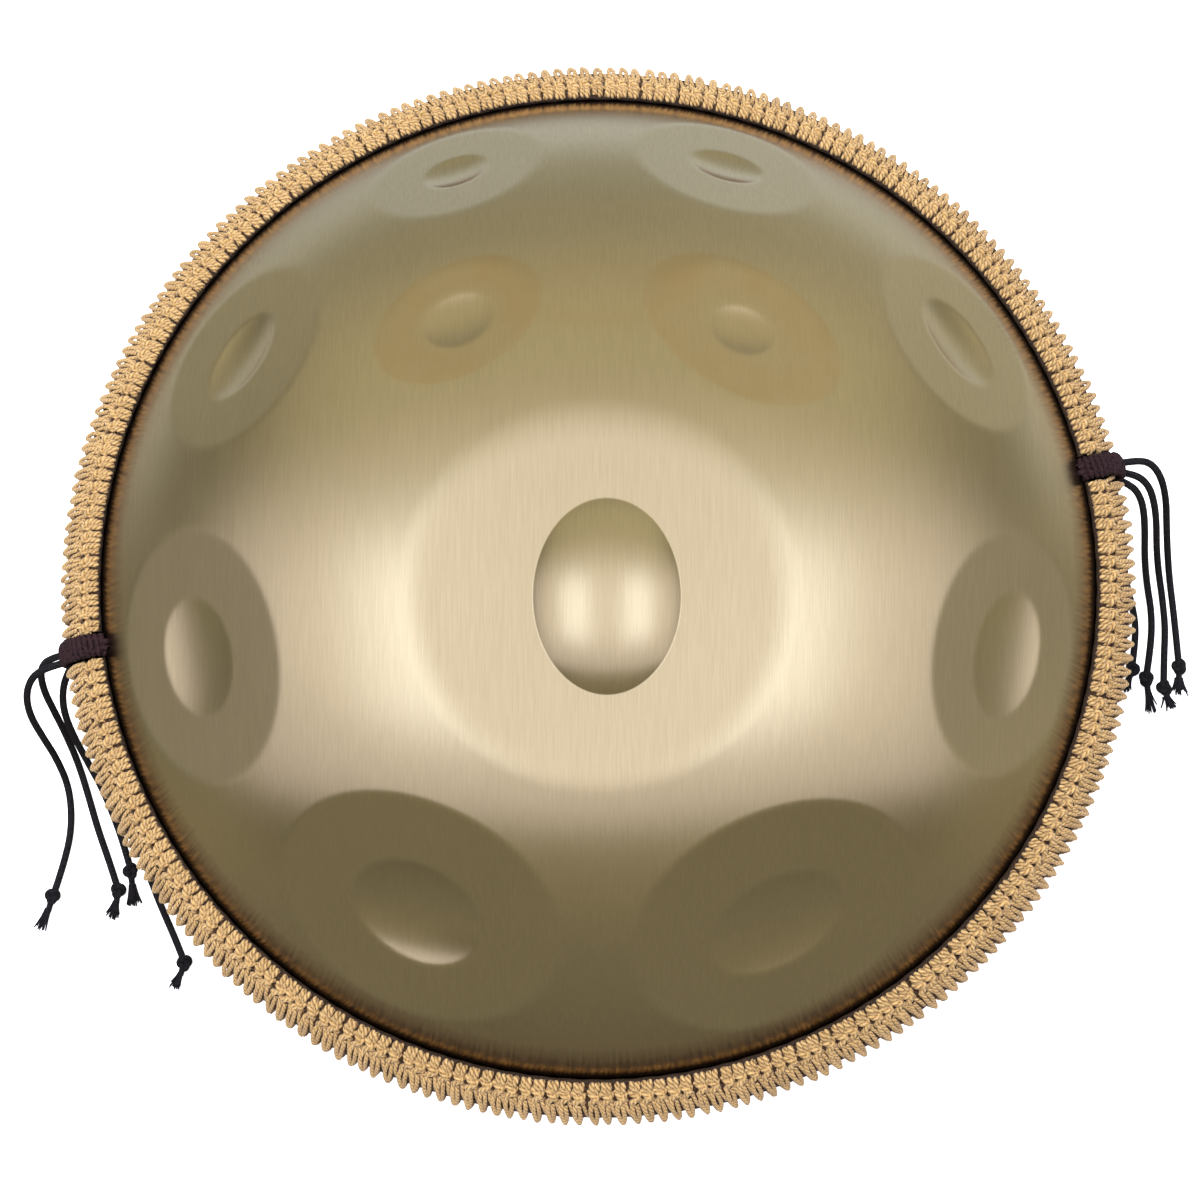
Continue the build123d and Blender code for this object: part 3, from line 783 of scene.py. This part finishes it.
def tie_knot(side_name, azimuth, material, seed):
    """A sliding wrap knot: close turns of cord round the band from its top to its underside."""
    rng = np.random.default_rng(seed)
    line = smooth_paths(np.array(TIE_SECTION)[None], 600)[0]
    run = np.concatenate([[0], np.cumsum(np.linalg.norm(np.diff(line, axis=0), axis=1))])
    turns = int(run[-1] / TIE_PITCH)
    a = np.linspace(0, turns * 2 * pi, turns * 22 + 1)
    at = a / (2 * pi) * TIE_PITCH
    r, z = np.interp(at, run, line[:, 0]), np.interp(at, run, line[:, 1])
    tangent = unit(np.gradient(np.stack([r, z], -1), axis=0))
    nr, nz = -tangent[:, 1], tangent[:, 0]
    flip = np.sign(nr[len(at) // 2])
    nr, nz = nr * flip, nz * flip
    marks = np.arange(0, a[-1] + 2, 1.0)
    bumps = rng.normal(0, 1, int(a[-1]) + 3)[:len(marks)]
    jitter = 1 + 0.06 * np.interp(a, marks, bumps)
    across = 5.3 * np.cos(a) * jitter
    proud = 1.35 * np.sin(a) + 0.2
    centre = radians(azimuth)
    radial = np.array([cos(centre), sin(centre), 0])
    sideways = np.array([-sin(centre), cos(centre), 0])
    up = np.array([0, 0, 1.0])
    path = ((r + proud * nr)[:, None] * radial + across[:, None] * sideways
            + (z + proud * nz + RIM_Z / MM)[:, None] * up)
    normal = nr[:, None] * radial + nz[:, None] * up
    outward = unit(np.cos(a)[:, None] * sideways + np.sin(a)[:, None] * normal)
    tone = np.array([0.5])
    batches = [tube_batch(path[None], outward[None], 1.42, 8, 3, 4.5, 0.14, tone)]
    # three cores keep the turns filled
    for offset in (-3.0, 0.0, 3.0):
        core = (line[:, 0][:, None] * radial + offset * sideways
                + (line[:, 1] + RIM_Z / MM)[:, None] * up)[::12]
        core_ref = np.broadcast_to(sideways, core.shape)
        batches.append(tube_batch(core[None], core_ref[None], 1.9, 8, 3, 5.0, 0.05, tone))
    # two short ends of cord lie on the shell, inside the knot
    lean = rng.uniform(-0.4, 0.4)
    for step, reach in ((-1.6, 7.5), (1.8, 4.5)):
        stub = np.array([(265.0, 17.8), (261.8, 18.6), (258.5, 18.8), (263.2 - reach, 19.6)])
        stub = smooth_paths(stub[None], 16)[0]
        spots = (stub[:, 0][:, None] * radial
                 + (step + lean * np.linspace(0, 3, 16))[:, None] * sideways
                 + (stub[:, 1] + RIM_Z / MM)[:, None] * up)
        batches.append(tube_batch(spots[None], np.broadcast_to(sideways, spots.shape)[None],
                                  1.55, 10, 3, 5.0, 0.06, tone))
    obj = tube_object("cord_tie_" + side_name, batches, material)
    return place(obj, "tie_cord", "slide_knot_" + side_name)


def make_drawcords(material):
    """Laid dark cords along both inner edges of the band; their brown tint is painted shade for
    the rope's shadow in the gap at the shell.
    """
    for half, start, end in (("far", TIE_RIGHT, TIE_LEFT), ("near", TIE_LEFT, TIE_RIGHT + 360)):
        for level, side in (("upper", 1), ("lower", -1)):
            azimuth = np.radians(np.linspace(start + TIE_HALF_ANGLE, end - TIE_HALF_ANGLE, 700))
            waver = 0.15 * np.sin(azimuth * UNITS / 2)
            r = DRAWCORD_R + waver
            path = np.stack([r * np.cos(azimuth), r * np.sin(azimuth),
                             DRAWCORD_Z * side + 0 * azimuth + RIM_Z / MM], -1)[None]
            reference = np.broadcast_to(np.array([0, 0, 1.0]), path.shape)
            tube = tube_batch(path, reference, DRAWCORD_TUBE_R, 10, 4, 7.0, 0.10, np.array([0.5]))
            obj = tube_object(f"cord_draw_{level}_{half}", [tube], material)
            place(obj, "black_cord", f"drawcord_{level}_{half}")


def adhesive_material():
    material, n = new_material("adhesive")
    spot = n.add("ShaderNodeTexCoord").outputs["Object"]
    cloud = n.noise(spot, 120.0, 3.0, 0.6)
    n.link(n.ramp(cloud, [(0.3, (0.30, 0.29, 0.25)), (0.7, (0.42, 0.40, 0.35))]),
           n.bsdf.inputs["Base Color"])
    n.bsdf.inputs["Roughness"].default_value = 0.6
    bump = n.add("ShaderNodeBump", {"Strength": 0.3, "Distance": 0.0003, "Height": cloud})
    n.link(bump.outputs["Normal"], n.bsdf.inputs["Normal"])
    return material


# ---- studio -------------------------------------------------------------------------------
def make_floor():
    material, n = new_material("floor")
    n.bsdf.inputs["Base Color"].default_value = (0.9, 0.9, 0.9, 1)
    n.bsdf.inputs["Roughness"].default_value = 0.9
    n.bsdf.inputs["Specular IOR Level"].default_value = 0.0
    n.bsdf.inputs["Emission Color"].default_value = (1, 1, 1, 1)
    n.bsdf.inputs["Emission Strength"].default_value = 0.95
    side = 6.0
    floor = new_mesh_object("floor", [(-side, -side, 0), (side, -side, 0), (side, side, 0),
                                      (-side, side, 0)], [(0, 1, 2, 3)], material, False)
    floor.visible_glossy = False


def window(n, value, low, rise, fall, high):
    """One between rise and fall, zero outside low and high, smooth between."""
    up = n.add("ShaderNodeMapRange", {"Value": value, "From Min": low, "From Max": rise},
               interpolation_type="SMOOTHSTEP").outputs["Result"]
    down = n.add("ShaderNodeMapRange", {"Value": value, "From Min": fall, "From Max": high,
                                        "To Min": 1.0, "To Max": 0.0},
                 interpolation_type="SMOOTHSTEP").outputs["Result"]
    return n.add("ShaderNodeMath", {0: up, 1: down}, operation="MULTIPLY").outputs["Value"]


class WorldNodes(Nodes):
    def __init__(self, world):
        world.use_nodes = True
        self.tree = world.node_tree


def make_world():
    """A studio in degrees from straight up: x across the pan, y away from the player."""
    world = bpy.data.worlds.new("studio")
    bpy.context.scene.world = world
    n = WorldNodes(world)

    def math(operation, a, b=0.0):
        return n.add("ShaderNodeMath", {0: a, 1: b}, operation=operation).outputs["Value"]

    split = n.add("ShaderNodeSeparateXYZ",
                  {"Vector": n.add("ShaderNodeTexCoord").outputs["Generated"]}).outputs
    x, y, z = split["X"], split["Y"], split["Z"]
    flat = math("SQRT", math("ADD", math("MULTIPLY", x, x),
                             math("ADD", math("MULTIPLY", y, y), 1e-6)))
    degrees_ = math("MULTIPLY", math("ARCCOSINE", z), 180 / pi)
    scale = math("DIVIDE", degrees_, flat)
    across, away = math("MULTIPLY", x, scale), math("MULTIPLY", y, scale)
    wide = math("ABSOLUTE", across)

    position = math("DIVIDE", math("ADD", away, 120.0), 240.0)
    room = n.ramp(position, ROOM)
    right = n.add("ShaderNodeMapRange", {"Value": across, "From Min": -90.0, "From Max": 90.0,
                                         "To Min": 0.90, "To Max": 1.28}).outputs["Result"]
    right = math("ADD", 1.0, math("MULTIPLY", math("SUBTRACT", right, 1.0),
                                  window(n, away, -44.0, -14.0, 400.0, 500.0)))
    room = n.mix(1.0, room, n.add("ShaderNodeCombineColor", {0: right, 1: right, 2: right})
                 .outputs["Color"], "MULTIPLY")
    low = n.add("ShaderNodeMapRange", {"Value": degrees_, "From Min": 107.0, "From Max": 124.0},
                interpolation_type="SMOOTHSTEP").outputs["Result"]
    room = n.mix(1.0, room, n.mix(low, (1.0, 1.0, 1.0), LOW_DIM), "MULTIPLY")
    for corner_away, corner_wide, left in CORNERS:
        corner = math("MULTIPLY", window(n, away, *corner_away), window(n, wide, *corner_wide))
        room = n.mix(1.0, room, n.mix(corner, (1.0, 1.0, 1.0), (left, left, left)), "MULTIPLY")
    ceiling = math("MULTIPLY", window(n, away, *CEILING_AWAY), window(n, wide, *CEILING_WIDE))
    room = n.mix(1.0, room, n.mix(ceiling, (0, 0, 0), CEILING_COLOUR), "ADD")
    horizon = math("MULTIPLY", window(n, degrees_, *HORIZON_LOW), window(n, away, *HORIZON_AWAY))
    room = n.mix(1.0, room, n.mix(horizon, (0, 0, 0), HORIZON_COLOUR), "ADD")
    band = math("MULTIPLY", window(n, away, *BAND_AWAY), window(n, wide, *BAND_WIDE))
    boxes = math("MULTIPLY", window(n, away, *BOX_AWAY), window(n, wide, *BOX_WIDE))
    light = n.mix(band, (0, 0, 0), BAND_COLOUR)
    bright = n.mix(boxes, (0, 0, 0), BOX_COLOUR)
    total = n.mix(1.0, n.mix(1.0, room, light, "ADD"), bright, "ADD")
    background = next(node for node in n.tree.nodes if node.type == "BACKGROUND")
    n.link(total, background.inputs["Color"])
    background.inputs["Strength"].default_value = 1.0


# position from the player's horizon (0) past straight up (0.5) to the far horizon (1)
ROOM = [(0.06, (0.145, 0.135, 0.135)), (0.25, (0.20, 0.195, 0.20)), (0.33, (0.25, 0.24, 0.22)),
        (0.42, (0.23, 0.23, 0.22)), (0.52, (0.21, 0.21, 0.22)), (0.66, (0.27, 0.27, 0.27)),
        (0.73, (0.33, 0.33, 0.34)), (0.80, (0.32, 0.33, 0.36)), (0.88, (0.34, 0.375, 0.48)),
        (0.95, (0.39, 0.44, 0.63)), (1.00, (0.17, 0.165, 0.15))]
# darker corners: where they lie away and across, and what they leave of the room's light
CORNERS = [((-50.0, -42.0, -34.0, -26.0), (34.0, 46.0, 62.0, 76.0), 0.64),
           ((14.0, 26.0, 46.0, 60.0), (46.0, 58.0, 78.0, 92.0), 0.72)]
HORIZON_LOW, HORIZON_AWAY = (84.0, 100.0, 108.0, 120.0), (10.0, 50.0, 400.0, 500.0)
HORIZON_COLOUR = (0.17, 0.205, 0.34)
CEILING_AWAY, CEILING_WIDE = (-30.0, -4.0, 36.0, 66.0), (-1.0, 0.0, 30.0, 74.0)
CEILING_COLOUR = (0.22, 0.215, 0.20)
BAND_AWAY, BAND_WIDE = (-34.0, -27.0, 4.0, 32.0), (-1.0, 0.0, 56.0, 77.0)
BAND_COLOUR = (0.46, 0.46, 0.78)
BOX_AWAY, BOX_WIDE = (-20.0, -10.0, 6.0, 18.0), (9.0, 15.0, 24.0, 38.0)
BOX_COLOUR = (0.72, 0.90, 1.55)
LOW_DIM = (0.72, 0.47, 0.32)        # what lies below the pan's rim, against the room above it


def make_lights():
    """A soft lamp overhead that lights the rope and cords but leaves no mark on the steel."""
    data = bpy.data.lights.new("overhead", "AREA")
    data.shape = "DISK"
    data.size = 0.9
    data.energy = 66.0
    data.color = (1.0, 0.98, 0.95)
    lamp = bpy.data.objects.new("overhead", data)
    lamp.location = (-0.3, 0.35, 2.2)
    aim = Vector((0, 0, RIM_Z)) - lamp.location
    lamp.rotation_euler = aim.to_track_quat("-Z", "Y").to_euler()
    lamp.visible_glossy = False
    bpy.context.scene.collection.objects.link(lamp)


# ---- build --------------------------------------------------------------------------------
bpy.context.scene.view_settings.view_transform = "Standard"
make_camera()
make_world()
make_lights()
make_floor()

cord_black = black_cord_material("black_cord", (0.003, 0.003, 0.0035), (0.013, 0.012, 0.013))
cord_tie = black_cord_material("tie_cord", (0.009, 0.004, 0.004), (0.034, 0.016, 0.017))
make_tails(cord_black)
make_top_shell(steel_material("steel_top", (0.80, 0.64, 0.31), HEAT_SPOTS, True))
make_bottom_shell(steel_material("steel_bottom", (0.78, 0.63, 0.31)))
jute = rope_material()
make_rope_band("jute_band_far", "rope_band_far", TIE_RIGHT + TIE_HALF_ANGLE,
               TIE_LEFT - TIE_HALF_ANGLE, jute, SEED)
make_rope_band("jute_band_near", "rope_band_near", TIE_LEFT + TIE_HALF_ANGLE,
               TIE_RIGHT + 360 - TIE_HALF_ANGLE, jute, SEED + 1)
tie_knot("left", TIE_LEFT, cord_tie, SEED + 20)
tie_knot("right", TIE_RIGHT, cord_tie, SEED + 21)
# a real dark cord, whose brown tint is painted shade for the rope's shadow in the gap at the shell
make_drawcords(black_cord_material("drawcord", (0.014, 0.009, 0.006), (0.045, 0.028, 0.016)))
adhesive = adhesive_material()
for material_slot in bpy.data.objects["seam_adhesive"].material_slots:
    material_slot.material = adhesive
